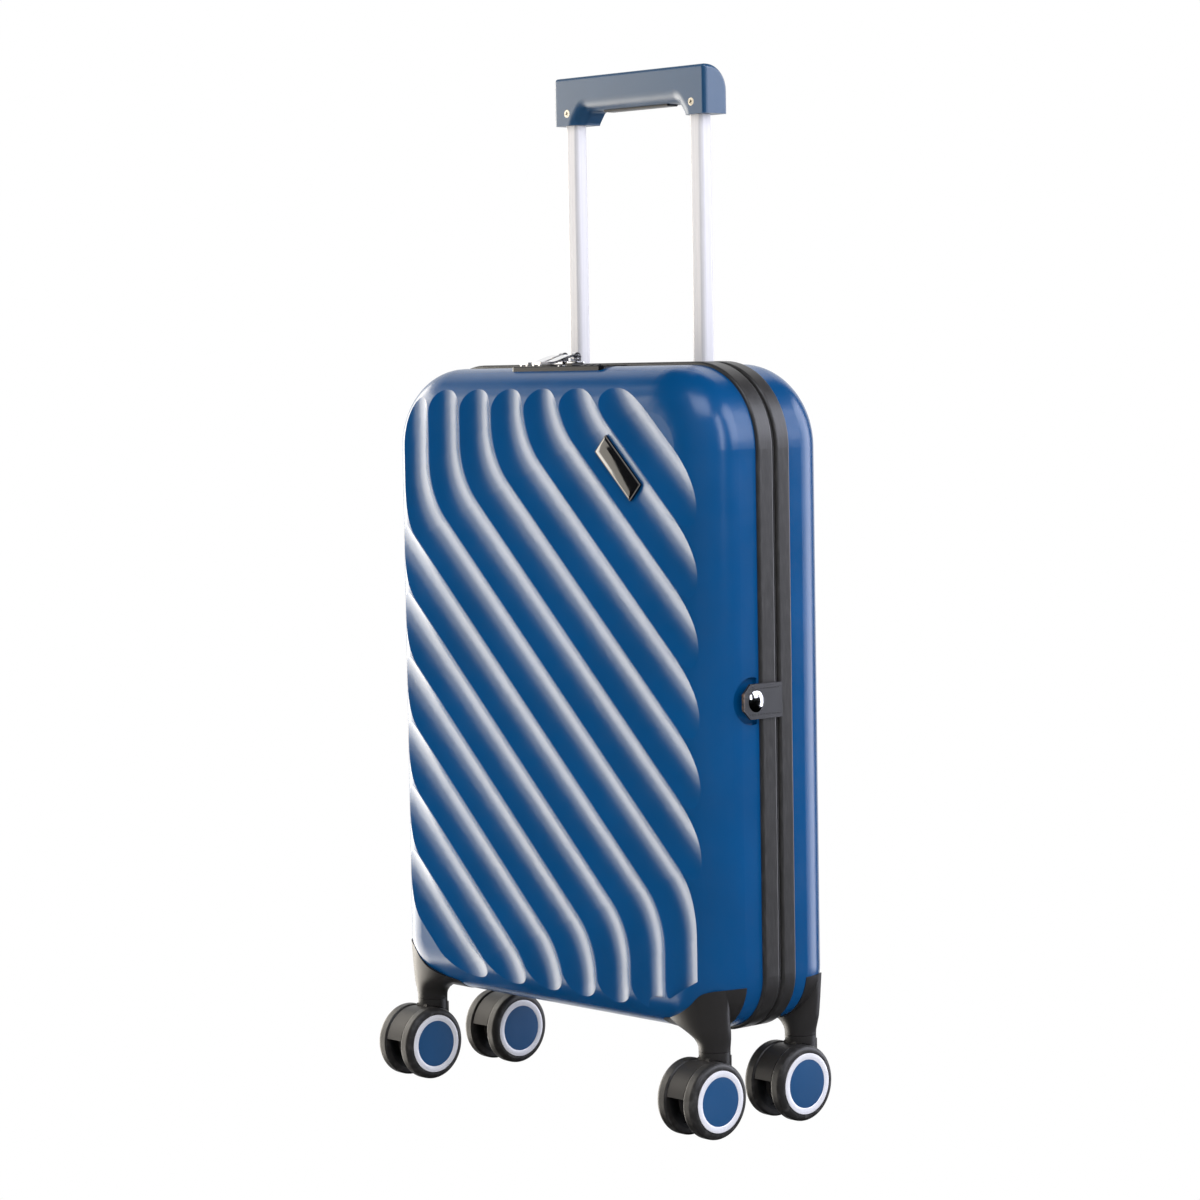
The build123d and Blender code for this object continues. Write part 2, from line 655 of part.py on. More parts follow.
# ---- casters ----
corners = (
    ("front_left", -1, -1),
    ("front_right", 1, -1),
    ("rear_left", -1, 1),
    ("rear_right", 1, 1),
)
for corner, sx, sy in corners:
    x0 = sx * swivel_x
    y0 = mid_y + sy * swivel_dy
    face_y = mid_y + sy * case_d / 2
    plain = front_plain if sy < 0 else back_plain

    with BuildPart() as housing:
        add(plain)
        # flared foot: the shell's corner drawn down to the collar
        with BuildSketch(Plane.XY.offset(collar_z)):
            with Locations((x0, y0)):
                RectangleRounded(2 * collar_r, 2 * collar_r, collar_r - 0.01)
        with BuildSketch(Plane.XY.offset(brow_z)) as crown:
            with Locations((sx * (side_x - 20.6), face_y - sy * 16.1)):
                Rectangle(40, 31)
            fillet(crown.vertices().sort_by(lambda v: -v.X * sx - v.Y * sy)[1:], 3)
            fillet(crown.vertices().sort_by(lambda v: -v.X * sx - v.Y * sy)[0], 27)
        loft()
        with BuildSketch(Plane.XY.offset(shell_z - 3)):
            with Locations((sx * (side_x - 36), face_y - sy * 20)):
                RectangleRounded(44, 21, 8)
        extrude(amount=20)
        with BuildSketch(Plane.XZ.offset(-face_y - sy * 12)):
            make_face(foot_outline(sx).edges())
        extrude(amount=sy * (12 + case_d / 2 - foot_inset), mode=Mode.INTERSECT)
        with Locations((x0, y0, collar_z)):
            Cylinder(
                stem_r + fit, stem_top + 1 - collar_z, align=(Align.CENTER, Align.CENTER, Align.MIN),
                mode=Mode.SUBTRACT,
            )
    save(housing.part, f"housing_{corner}")

    axle_y = y0 - wheel_trail
    with BuildPart() as fork:
        # web between the wheels
        with BuildSketch(Plane.YZ.offset(x0 - 6)):
            with Locations((axle_y, wheel_r)):
                Circle(17)
            with BuildLine():
                Polyline(
                    (axle_y, wheel_r + 17),
                    (axle_y + 17, wheel_r),
                    (y0 + collar_r - 0.4, wheel_r + 12),
                    (y0 + collar_r - 0.4, collar_z - 4),
                    (y0 - collar_r + 0.4, collar_z - 4),
                    (axle_y, wheel_r + 17),
                )
            make_face()
        extrude(amount=12)
        # fender over the gap
        with BuildSketch(Plane.YZ.offset(x0 - 8.3)):
            with Locations((axle_y, wheel_r)):
                Circle(26.6)
                Circle(22.6, mode=Mode.SUBTRACT)
            with BuildLine():
                Polyline(
                    (axle_y, wheel_r),
                    (axle_y - 40, wheel_r + 6),
                    (axle_y - 40, wheel_r + 60),
                    (axle_y + 40, wheel_r + 60),
                    (axle_y + 40, wheel_r + 22),
                    (axle_y, wheel_r),
                )
            make_face(mode=Mode.INTERSECT)
        extrude(amount=16.6)
        # column and collar
        with BuildSketch(Plane.XY.offset(wheel_r + 14)):
            with Locations((x0, y0)):
                Circle(collar_r)
        extrude(amount=collar_z - 0.3 - wheel_r - 14)
        for wheel in (-1, 1):
            with BuildSketch(Plane.YZ.offset(x0 + wheel * 8.3)):
                with Locations((axle_y, wheel_r)):
                    Circle(wheel_r + 0.6)
            extrude(amount=wheel * 12, mode=Mode.SUBTRACT)
        # stem
        with BuildSketch(Plane.XY.offset(collar_z - 2)):
            with Locations((x0, y0)):
                Circle(stem_r)
        extrude(amount=stem_top - collar_z + 2)
        with BuildSketch(Plane.YZ.offset(x0 - 10)):
            with Locations((axle_y, wheel_r)):
                Circle(axle_r)
        extrude(amount=20, mode=Mode.SUBTRACT)
    save(fork.part, f"fork_{corner}")

    with BuildPart() as axle:
        with BuildSketch(Plane.YZ.offset(x0 - tyre_out + 2.6)):
            with Locations((axle_y, wheel_r)):
                Circle(axle_r)
        extrude(amount=2 * tyre_out - 5.2)
        chamfer(axle.edges(), 0.4)
    save(axle.part, f"axle_{corner}")

    for hand, wx in (("left", -1), ("right", 1)):
        with BuildPart() as tyre:
            with BuildSketch(Plane.YZ.offset(x0 + wx * tyre_in)):
                with Locations((axle_y, wheel_r)):
                    Circle(wheel_r)
            extrude(amount=wx * (tyre_out - tyre_in))
            fillet(tyre.edges().group_by(Axis.X)[-1 if wx > 0 else 0], 4.0)
            fillet(tyre.edges().group_by(Axis.X)[0 if wx > 0 else -1], 1.6)
            with BuildSketch(Plane.YZ.offset(x0 + wx * (tyre_in - 1))):
                with Locations((axle_y, wheel_r)):
                    Circle(hub_r)
            extrude(amount=wx * 20, mode=Mode.SUBTRACT)
        save(tyre.part, f"tyre_{corner}_{hand}")

        with BuildPart() as hub:
            with BuildSketch(Plane.YZ.offset(x0 + wx * (tyre_in + 0.3))):
                with Locations((axle_y, wheel_r)):
                    Circle(hub_r)
            extrude(amount=wx * (tyre_out - tyre_in - 0.5))
            # ring sloping in to the flat cap
            rim = hub.faces().sort_by(Axis.X)[-1 if wx > 0 else 0]
            fillet(rim.edges(), 0.6)
            with BuildSketch(Plane.YZ.offset(x0 + wx * (tyre_out - 0.2))):
                with Locations((axle_y, wheel_r)):
                    Circle(hub_r - 1.4)
            extrude(amount=-wx * 1.2, taper=62, mode=Mode.SUBTRACT)
            # spokes' hollow behind the cap
            with BuildSketch(Plane.YZ.offset(x0 + wx * (tyre_in + 0.3))):
                with Locations((axle_y, wheel_r)):
                    Circle(hub_r - 2.6)
                    Circle(6, mode=Mode.SUBTRACT)
            extrude(amount=wx * 5, mode=Mode.SUBTRACT)
            with BuildSketch(Plane.YZ.offset(x0 + wx * (tyre_in - 1))):
                with Locations((axle_y, wheel_r)):
                    Circle(axle_r + fit)
            extrude(amount=wx * (tyre_out - 2.2 - tyre_in + 1), mode=Mode.SUBTRACT)
        save(hub.part, f"hub_{corner}_{hand}")
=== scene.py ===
"""Finishes and small fittings of a slim hard shell suitcase, built round its modelled frame.

Metres. X is the case's width, -Y its fluted front and +Z up; the wheels stand on z = 0.
"""
import math

import bpy
from bpy.props import FloatProperty, FloatVectorProperty, PointerProperty
from mathutils import Matrix, Vector


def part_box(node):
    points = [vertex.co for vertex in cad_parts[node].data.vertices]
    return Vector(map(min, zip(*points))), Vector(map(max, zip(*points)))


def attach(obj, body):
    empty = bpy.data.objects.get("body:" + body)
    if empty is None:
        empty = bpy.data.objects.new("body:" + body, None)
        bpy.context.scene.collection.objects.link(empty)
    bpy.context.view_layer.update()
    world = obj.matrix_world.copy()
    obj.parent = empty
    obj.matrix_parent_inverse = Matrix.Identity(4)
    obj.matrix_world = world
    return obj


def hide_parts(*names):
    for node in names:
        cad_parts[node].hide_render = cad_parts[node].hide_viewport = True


bl_info = {
    "name": "Hard shell suitcase",
    "version": (1, 0, 0),
    "blender": (4, 5, 0),
    "location": "View3D > Sidebar > Suitcase",
    "description": "Dresses the modelled frame of a slim suitcase on casters",
    "category": "Object",
}

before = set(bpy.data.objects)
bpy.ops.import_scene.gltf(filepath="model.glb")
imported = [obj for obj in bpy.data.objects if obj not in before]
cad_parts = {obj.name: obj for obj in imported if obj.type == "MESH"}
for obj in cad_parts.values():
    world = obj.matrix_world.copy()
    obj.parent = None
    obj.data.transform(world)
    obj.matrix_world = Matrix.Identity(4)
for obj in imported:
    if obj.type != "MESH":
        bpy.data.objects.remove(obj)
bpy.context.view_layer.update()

CORNERS = ("front_left", "front_right", "rear_left", "rear_right")
HANDS = (("left", -1), ("right", 1))
WHEELS = [(corner, hand, facing) for corner in CORNERS for hand, facing in HANDS]
DIALS = ("dial_1", "dial_2", "dial_3")
FIGURES = ("0", "3", "6")
SLIDERS = ("slider_left", "slider_right")
MM_PER_M = 1000

# flutes round the badge: crest to crest, how deep, how round, a place in the valley
# under the badge, and the directions across and down along them
FLUTE_PITCH = 0.03938
FLUTE_DEPTH = 0.0047
FLUTE_R = 0.04152
FLUTE_VALLEY = (0.0845, 0, 0.4727)
ACROSS_FLUTES = (0.9307, 0, 0.3657)
DOWN_FLUTES = (0.7193, 0, -0.6946)

# badge: its middle, its length, thickness and width, then the steps in from the edge of
# its front, each with its width and its rise
BADGE_CENTRE = (0.0845, -0.0494, 0.4742)
BADGE_SIZE = (0.0505, 0.0026, 0.0166)
BADGE_STEPS = ((0.0007, 0), (0.0001, -0.0005), (0.0002, 0.0009), (0.0013, 0.0006), (0.0030, 0.0003))

# shell's rounded lower edge at the front right: its radius, its middle line, the
# middle of the case's corner, and the plane half way between front and rear casters
EDGE_R = 0.032
EDGE_Y, EDGE_Z = -0.0205, 0.103
CORNER_X, CORNER_Z = 0.138, 0.111
MIDDLE_Y = 0.0105

# caster post from its collar up, in millimetres: height, left, right, front, back
POST_RINGS = (
    (60, 146.3, 169.1, -44.4, -21.6),
    (63, 146.1, 169.3, -44.5, -21.5),
    (65.4, 144.9, 169.9, -44.9, -21.4),
    (68.6, 141.7, 170.7, -45.7, -21.2),
    (71.1, 137.0, 171.3, -46.6, -21),
    (73.6, 131.6, 171.9, -47.5, -20.8),
    (76, 125, 172.2, -48.2, -20.6),
    (80, 118, 172.5, -49.2, -20.4),
    (88, 110, 172.8, -50.6, -20.2),
    (107, 104, 173.6, -52.3, -20),
)
# housing seen from the front: its brow in an S from the wing's tip to the flat top,
# and the corners that close the outline below
BROW = (
    (0.1135, 0.0772), (0.1158, 0.0794), (0.1258, 0.0814), (0.1402, 0.0866),
    (0.1500, 0.0926), (0.1569, 0.0990), (0.1615, 0.1024), (0.1680, 0.1045),
    (0.1745, 0.1053), (0.1780, 0.1052), (0.1786, 0.1030), (0.1787, 0.0980),
)
UNDER_BROW = ((0.1787, 0.0595), (0.1300, 0.0595), (0.1180, 0.0690))
PIN_BORE = {"radius": 0.0043, "depth": 0.028, "location": (0.1577, -0.033, 0.0719)}

# camera: where it is, then round from the front, down and lean in degrees
CAMERA_PLACE = (1.9326, -1.7400, 0.5434)
CAMERA_TURN = (47.89, 3.74, -0.96)
CAMERA_LENS = 104.85
SENSOR_WIDTH = 36.0
WHITE = (1, 1, 1, 1)


# ---- sizes and colours that a user would change ----
def colour(label, about, value):
    return FloatVectorProperty(
        name=label, description=about, default=value, size=3, min=0, max=1, subtype="COLOR"
    )


def length(label, about, value):
    return FloatProperty(name=label, description=about, default=value, min=0, unit="LENGTH")


def power(label, about, value):
    return FloatProperty(name=label, description=about, default=value, unit="POWER")


class CaseColours(bpy.types.PropertyGroup):
    shell: colour("Shell", "Moulded shells", (0.0002, 0.06, 0.185))
    band: colour("Zip band", "Coated band either side of the zip", (0.022, 0.021, 0.02))
    strap: colour("Strap", "Artificial leather of the keeper strap", (0.017, 0.017, 0.019))
    thread: colour("Thread", "Stitching on the strap", (0.009, 0.009, 0.01))
    grip: colour("Grip", "Moulded handle grip", (0.002, 0.05, 0.125))
    caster: colour("Casters", "Housings, forks and fenders", (0.024, 0.0225, 0.0215))
    tyre: colour("Tyres", "Treads of the wheels", (0.02, 0.019, 0.018))
    cap: colour("Wheel caps", "Discs in the wheels", (0.003, 0.06, 0.17))


class CaseSizes(bpy.types.PropertyGroup):
    cap_r: length("Cap radius", "Flat disc in each wheel", 0.0178)
    ring_r: length("Ring radius", "Outside of the bright ring", 0.0222)
    stitch_pitch: length("Stitch pitch", "One stitch to the next on the strap", 0.0027)
    stitch_inset: length("Stitch inset", "Stitch row in from the strap's edge", 0.0034)
    figure_h: length("Figure height", "Figures on the lock's dials", 0.0026)


class CaseLights(bpy.types.PropertyGroup):
    key: power("Key", "Large warm softbox on the left", 60.0)
    fill: power("Fill", "Broad light from the camera's side", 40.0)
    edge: power("Edge", "Narrow softbox on the right", 7.0)
    side: power("Side", "Cool softbox behind on the right", 14.0)
    rear: power("Rear", "Softbox behind the case", 24.0)
    top: power("Top", "Overhead softbox", 9.0)
    world: FloatProperty(name="World", description="Plain light from all round", default=0.3, min=0)
    key_colour: colour("Key colour", "Colour of the left softbox", (1.0, 0.93, 0.82))
    side_colour: colour("Side colour", "Colour of the other softboxes", (0.86, 0.88, 1.0))


# ---- shader sums and finishes ----
class Value:
    """A number in a node tree that can be multiplied like any other."""

    def __init__(self, nodes, socket):
        self.nodes = nodes
        self.socket = socket

    def __mul__(self, other):
        return self.nodes.maths("MULTIPLY", self, other)

    __rmul__ = __mul__


class Nodes:
    """A node tree, emptied, whose nodes are added one by one."""

    def __init__(self, tree):
        self.tree = tree
        self.tree.nodes.clear()

    def node(self, kind, settings=None, values=None):
        made = self.tree.nodes.new(kind)
        for key, value in (settings or {}).items():
            setattr(made, key, value)
        for key, value in (values or {}).items():
            self.feed(made.inputs[key], value)
        return made

    def feed(self, socket, value):
        if isinstance(value, Value):
            value = value.socket
        if isinstance(value, bpy.types.NodeSocket):
            self.tree.links.new(value, socket)
        else:
            socket.default_value = value

    def maths(self, operation, *values):
        made = self.node("ShaderNodeMath", {"operation": operation}, dict(enumerate(values)))
        return Value(self, made.outputs[0])

    def seen_directly(self):
        """1 for what the camera sees itself, mirrored or through something clear."""
        path = self.node("ShaderNodeLightPath")
        seen = path.outputs["Is Camera Ray"]
        for kind in ("Is Glossy Ray", "Is Transmission Ray"):
            seen = self.maths("MAXIMUM", seen, path.outputs[kind])
        return seen


class Finish(Nodes):
    """A material with one surface shader."""

    def __init__(self, name):
        self.material = bpy.data.materials.new(name)
        self.material.use_nodes = True
        super().__init__(self.material.node_tree)
        self.surface = self.node("ShaderNodeBsdfPrincipled")
        surface = {"Surface": self.surface.outputs[0]}
        self.output = self.node("ShaderNodeOutputMaterial", {}, surface)
        self.place = self.node("ShaderNodeTexCoord").outputs["Object"]

    def mapped(self, scale=(1, 1, 1), turn=(0, 0, 0)):
        made = self.node(
            "ShaderNodeMapping", {}, {"Vector": self.place, "Rotation": turn, "Scale": scale}
        )
        return made.outputs[0]

    def noise(self, scale, detail=2.0, roughness=0.5, at=None):
        made = self.node(
            "ShaderNodeTexNoise",
            {},
            {"Vector": at or self.place, "Scale": scale, "Detail": detail, "Roughness": roughness},
        )
        return Value(self, made.outputs["Fac"])

    def waves(self, scale, at):
        made = self.node(
            "ShaderNodeTexWave",
            {"wave_type": "BANDS", "bands_direction": "X"},
            {"Vector": at, "Scale": scale},
        )
        return Value(self, made.outputs["Fac"])

    def span(self, value, low, high, start=0.0, end=1.0):
        made = self.node(
            "ShaderNodeMapRange",
            {"clamp": True},
            {"Value": value, "From Min": low, "From Max": high, "To Min": start, "To Max": end},
        )
        return Value(self, made.outputs[0])

    def blend(self, amount, first, second):
        made = self.node("ShaderNodeMix", {"data_type": "RGBA"}, {"Factor": amount})
        for key, value in (("A", first), ("B", second)):
            socket = [s for s in made.inputs if s.name == key and s.type == "RGBA"][0]
            self.feed(socket, value)
        return [s for s in made.outputs if s.type == "RGBA"][0]

    def relief(self, height, depth):
        made = self.node(
            "ShaderNodeBump", {}, {"Height": height, "Distance": depth, "Strength": 1.0}
        )
        self.feed(self.surface.inputs["Normal"], made.outputs[0])

    def set(self, **values):
        for key, value in values.items():
            self.feed(self.surface.inputs[key.replace("_", " ")], value)


def solid(rgb):
    return (rgb[0], rgb[1], rgb[2], 1.0)


def tint(rgb, factor):
    return (rgb[0] * factor, rgb[1] * factor, rgb[2] * factor, 1.0)


def moulded(name, rgb, grain, depth, rough, gloss=0.5, ior=1.5):
    """Satin moulded plastic with a spark-eroded grain."""
    finish = Finish(name)
    cloud = finish.noise(14, detail=3)
    fine = finish.noise(grain, roughness=0.6)
    worn = finish.noise(60, detail=4)
    finish.set(
        Base_Color=finish.blend(finish.span(cloud, 0.3, 0.7), tint(rgb, 0.93), tint(rgb, 1.07)),
        Roughness=finish.span(worn, 0.25, 0.75, rough - 0.03, rough + 0.03),
        Specular_IOR_Level=gloss,
        IOR=ior,
    )
    finish.relief(fine, depth)
    return finish.material


def polished(name, rgb, rough):
    """Plated metal with faint handling marks."""
    finish = Finish(name)
    drawn_out = finish.mapped(scale=(1, 0.12, 1))
    marks = finish.noise(700, detail=3, at=drawn_out)
    finish.set(
        Base_Color=finish.blend(finish.span(marks, 0.35, 0.7), solid(rgb), tint(rgb, 0.9)),
        Metallic=1.0,
        Roughness=finish.span(marks, 0.3, 0.75, rough, rough + 0.08),
    )
    return finish.material


def pale_metal_painted_reflection(name, rgb):
    """Pale satin plating with little metal in it, bright in soft light: its pale colour is partly
    the plating's own and partly a painted reflection.
    """
    finish = Finish(name)
    marks = finish.noise(500, detail=3)
    finish.set(
        Base_Color=finish.blend(finish.span(marks, 0.3, 0.7), solid(rgb), tint(rgb, 0.94)),
        Metallic=0.15,
        Roughness=finish.span(marks, 0.3, 0.7, 0.28, 0.36),
    )
    return finish.material


def drawn_aluminium():
    """Satin anodised tube with lines along its length."""
    finish = Finish("leg_aluminium")
    lines = finish.noise(900, detail=3, at=finish.mapped(scale=(1, 1, 0.006)))
    pale, dark = (0.66, 0.65, 0.66, 1), (0.58, 0.57, 0.59, 1)
    finish.set(
        Base_Color=finish.blend(finish.span(lines, 0.3, 0.7), pale, dark),
        Metallic=0.15,
        Roughness=finish.span(lines, 0.3, 0.7, 0.36, 0.46),
    )
    finish.relief(lines, 0.00002)
    return finish.material


def coated_band(rgb):
    """Smooth coated band with faint scuffs across it."""
    finish = Finish("zip_band")
    scuffs = finish.noise(120, detail=4, at=finish.mapped(scale=(1, 6, 1)))
    dust = finish.noise(900)
    finish.set(
        Base_Color=finish.blend(finish.span(scuffs, 0.45, 0.8), solid(rgb), tint(rgb, 1.8)),
        Roughness=finish.span(scuffs, 0.3, 0.75, 0.34, 0.46),
        Specular_IOR_Level=0.7,
    )
    finish.relief(dust, 0.00003)
    return finish.material


def woven(name, rgb, pitch):
    """Plain weave of the zip tape and of the thread."""
    finish = Finish(name)
    warp = finish.waves(1 / pitch, finish.place)
    weft = finish.waves(1 / pitch, finish.mapped(turn=(0, math.pi / 2, 0)))
    lie = warp * weft
    finish.set(
        Base_Color=finish.blend(lie, tint(rgb, 0.6), tint(rgb, 1.3)),
        Roughness=0.82,
        Sheen_Weight=0.25,
        Sheen_Roughness=0.5,
    )
    finish.relief(lie, 0.0001)
    return finish.material


def artificial_leather(rgb):
    """Dark coated strap with a fine diagonal weave pressed in, tan where its tip has rubbed."""
    finish = Finish("strap_leather")
    threads_per_m, tan = 520, (0.16, 0.1, 0.06, 1)
    one, other = (
        finish.waves(threads_per_m, finish.mapped(turn=(math.radians(lie), 0, math.radians(90))))
        for lie in (45, -45)
    )
    weave = finish.maths("MAXIMUM", one, other)
    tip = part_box("keeper_strap")[0].y
    y = finish.node("ShaderNodeSeparateXYZ", {}, {"Vector": finish.place}).outputs["Y"]
    rubbed = finish.span(y, tip + 0.0016, tip + 0.0002)
    patch = finish.span(finish.noise(420, detail=3), 0.42, 0.6)
    dark = finish.blend(weave, tint(rgb, 0.7), tint(rgb, 1.5))
    finish.set(
        Base_Color=finish.blend(rubbed * patch, dark, tan),
        Roughness=finish.span(weave, 0, 1, 0.5, 0.4),
        Specular_IOR_Level=0.6,
    )
    finish.relief(weave, 0.00008)
    return finish.material


def rubber(rgb):
    """Smooth tread rubber, a little dusty."""
    finish = Finish("tyre_rubber")
    dust = finish.noise(220, detail=4)
    finish.set(
        Base_Color=finish.blend(finish.span(dust, 0.5, 0.85), solid(rgb), tint(rgb, 3.0)),
        Roughness=finish.span(dust, 0.3, 0.8, 0.38, 0.55),
        Specular_IOR_Level=0.6,
    )
    finish.relief(finish.noise(1500), 0.00002)
    return finish.material


def wear(finish_material, *names):
    """Puts one material on modelled nodes or pieces."""
    for name in names:
        mesh = bpy.data.objects[name].data
        mesh.materials.clear()
        mesh.materials.append(finish_material)
        for polygon in mesh.polygons:
            polygon.material_index = 0


# ---- modelling helpers ----
def clear_selection():
    if bpy.context.object and bpy.context.object.mode != "OBJECT":
        bpy.ops.object.mode_set(mode="OBJECT")
    bpy.ops.object.select_all(action="DESELECT")


def pick(piece):
    """Selects this piece only and makes it the active one."""
    clear_selection()
    bpy.context.view_layer.objects.active = piece
    piece.select_set(True)


def pick_points(piece, chosen):
    """Selects only these corner points, by their numbers."""
    mesh = piece.data
    for group in (mesh.polygons, mesh.edges, mesh.vertices):
        group.foreach_set("select", [False] * len(group))
    for n in chosen:
        mesh.vertices[n].select = True


def apply_place(piece):
    """Puts a piece's place, turn and scale in its mesh."""
    pick(piece)
    bpy.ops.object.transform_apply(location=True, rotation=True, scale=True)


def settle(piece, name, body, material, smooth):
    """Names a finished piece, puts its place in its mesh and lets it ride on its body.

    Edges flatter than the smooth angle, in degrees, are shaded as one surface.
    """
    piece.name = name
    piece.data.name = name
    apply_place(piece)
    if smooth:
        bpy.ops.object.shade_smooth_by_angle(angle=math.radians(smooth))
    piece.select_set(False)
    piece.data.materials.clear()
    piece.data.materials.append(material)
    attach(piece, body)
    return piece


def copy_of(piece):
    made = piece.copy()
    made.data = piece.data.copy()
    bpy.context.scene.collection.objects.link(made)
    return made


def close_up():
    """Turns all faces outwards and leaves edit mode."""
    bpy.ops.mesh.select_all(action="SELECT")
    bpy.ops.mesh.normals_make_consistent(inside=False)
    bpy.ops.object.mode_set(mode="OBJECT")


def turned(start_r, steps, closed):
    """A turned form about Z: rings added outwards from a first ring, open or closed at the last."""
    clear_selection()
    bpy.ops.mesh.primitive_circle_add(vertices=64, radius=start_r, fill_type="NOTHING")
    piece = bpy.context.object
    bpy.ops.object.mode_set(mode="EDIT")
    bpy.ops.mesh.select_all(action="SELECT")
    radius = start_r
    for next_r, rise in steps:
        bpy.ops.mesh.extrude_edges_move()
        factor = next_r / radius
        bpy.ops.transform.resize(value=(factor, factor, 1))
        bpy.ops.transform.translate(value=(0, 0, rise))
        radius = next_r
    if closed:
        bpy.ops.mesh.edge_face_add()
        close_up()
    else:
        bpy.ops.object.mode_set(mode="OBJECT")
    return piece


def drawn(points, push):
    """A block whose flat outline is drawn point by point."""
    clear_selection()
    bpy.ops.mesh.primitive_plane_add(size=0.001, location=points[0])
    piece = bpy.context.object
    bpy.ops.object.mode_set(mode="EDIT")
    bpy.ops.mesh.select_all(action="SELECT")
    bpy.ops.mesh.merge(type="CENTER")
    for here, there in zip(points, points[1:]):
        bpy.ops.mesh.extrude_vertices_move()
        bpy.ops.transform.translate(value=Vector(there) - Vector(here))
    bpy.ops.mesh.select_all(action="SELECT")
    bpy.ops.mesh.edge_face_add()
    bpy.ops.mesh.extrude_region_move(TRANSFORM_OT_translate={"value": push})
    close_up()
    return piece


def combine(piece, other, operation):
    """Boolean of two new pieces; the second is used up."""
    pick(piece)
    cut = piece.modifiers.new("combine", "BOOLEAN")
    cut.operation = operation
    cut.solver = "EXACT"
    cut.object = other
    bpy.ops.object.modifier_apply(modifier=cut.name)
    bpy.data.objects.remove(other)


def keep_side(place, direction):
    """Cuts the piece being edited and keeps the side the direction points to."""
    bpy.ops.mesh.select_all(action="SELECT")
    bpy.ops.mesh.bisect(plane_co=place, plane_no=direction, clear_inner=True)
    bpy.ops.mesh.select_all(action="SELECT")


def along_curve(points, parts):
    """Evenly smooth points through the given ones."""
    made = []
    for n in range(len(points) - 1):
        a, b = points[max(n - 1, 0)], points[n]
        c, d = points[n + 1], points[min(n + 2, len(points) - 1)]
        for part in range(parts):
            t = part / parts
            made.append(tuple(
                0.5 * (
                    2 * q
                    + (r - p) * t
                    + (2 * p - 5 * q + 4 * r - s) * t * t
                    + (3 * q - p - 3 * r + s) * t ** 3
                )
                for p, q, r, s in zip(a, b, c, d)
            ))
    return made + [points[-1]]


def badge_ground():
    """The flutes carried on under the badge: three round valleys with flat crests between."""
    across, down, valley = Vector(ACROSS_FLUTES), Vector(DOWN_FLUTES), Vector(FLUTE_VALLEY)
    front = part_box("front_shell")[0].y
    above, tall = 0.030, 0.054
    to_left, to_right = 0.038, 0.036
    off_flutes, off_front, near = 0.00005, 0.00003, 0.00001
    middle_y = Vector((0, front - FLUTE_R + FLUTE_DEPTH, 0))
    clear_selection()
    bpy.ops.mesh.primitive_circle_add(
        vertices=512,
        radius=FLUTE_R - off_flutes,
        fill_type="NOTHING",
        location=valley - across * FLUTE_PITCH - down * above + middle_y,
        rotation=(0, -math.atan2(ACROSS_FLUTES[2], ACROSS_FLUTES[0]), 0),
    )
    patch = bpy.context.object
    bpy.ops.object.mode_set(mode="EDIT")
    keep_side((0, front - off_front, 0), (0, 1, 0))
    for _ in range(2):
        bpy.ops.mesh.duplicate_move(TRANSFORM_OT_translate={"value": across * FLUTE_PITCH})
    bpy.ops.object.mode_set(mode="OBJECT")

    # crests join each valley's end to the next one's start
    ends = sorted(
        (v.index for v in patch.data.vertices if (patch.matrix_world @ v.co).y < front + near),
        key=lambda n: (patch.matrix_world @ patch.data.vertices[n].co).dot(across),
    )
    for crest in (ends[1:3], ends[3:5]):
        pick_points(patch, crest)
        bpy.ops.object.mode_set(mode="EDIT")
        bpy.ops.mesh.edge_face_add()
        bpy.ops.object.mode_set(mode="OBJECT")
    bpy.ops.object.mode_set(mode="EDIT")
    keep_side(valley - across * to_left, across)
    keep_side(valley + across * to_right, -across)
    bpy.ops.mesh.extrude_region_move(TRANSFORM_OT_translate={"value": down * tall})
    close_up()
    return patch


class CASE_OT_shells(bpy.types.Operator):
    """Satin blue grained plastic on both shells"""

    bl_idname = "suitcase.shells"
    bl_label = "Shells"

    def execute(self, context):
        rgb = context.scene.case_colours.shell
        shell = moulded(
            "shell_plastic", rgb, grain=1000, depth=0.000036, rough=0.24, gloss=0.34, ior=1.7
        )
        wear(shell, "front_shell", "back_shell")
        patch = badge_ground()
        settle(patch, "badge_ground", "front_half", shell, smooth=20)
        # its faces look out of the front
        if sum(p.normal.y * p.area for p in patch.data.polygons) > 0:
            patch.data.flip_normals()
        shaded = tuple(0.6 * part for part in rgb)
        cup = moulded("cup_plastic", shaded, grain=1500, depth=0.00004, rough=0.45)
        wear(cup, "handle_cup", "tube_base")
        return {"FINISHED"}


class CASE_OT_zip(bpy.types.Operator):
    """Coated bands, and the woven tape of the zip and the hinge spine"""

    bl_idname = "suitcase.zip"
    bl_label = "Zip"

    def execute(self, context):
        colours = context.scene.case_colours
        wear(coated_band(colours.band), "front_band", "rear_band")
        tape = woven("zip_tape", (0.02, 0.02, 0.021), pitch=0.0009)
        wear(tape, "front_chain", "rear_chain", "front_spine", "rear_spine")
        return {"FINISHED"}


def dial_figure(dial, figure, height):
    """A figure lying on top of a dial."""
    sink, thin = 0.00002, 0.00006
    low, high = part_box(dial)
    clear_selection()
    bpy.ops.object.text_add(
        location=((low.x + high.x) / 2, (low.y + high.y) / 2, high.z - sink)
    )
    text = bpy.context.object.data
    text.body = figure
    text.size = height
    text.align_x = "CENTER"
    text.align_y = "CENTER"
    text.extrude = thin
    bpy.ops.object.convert(target="MESH")
    return bpy.context.object


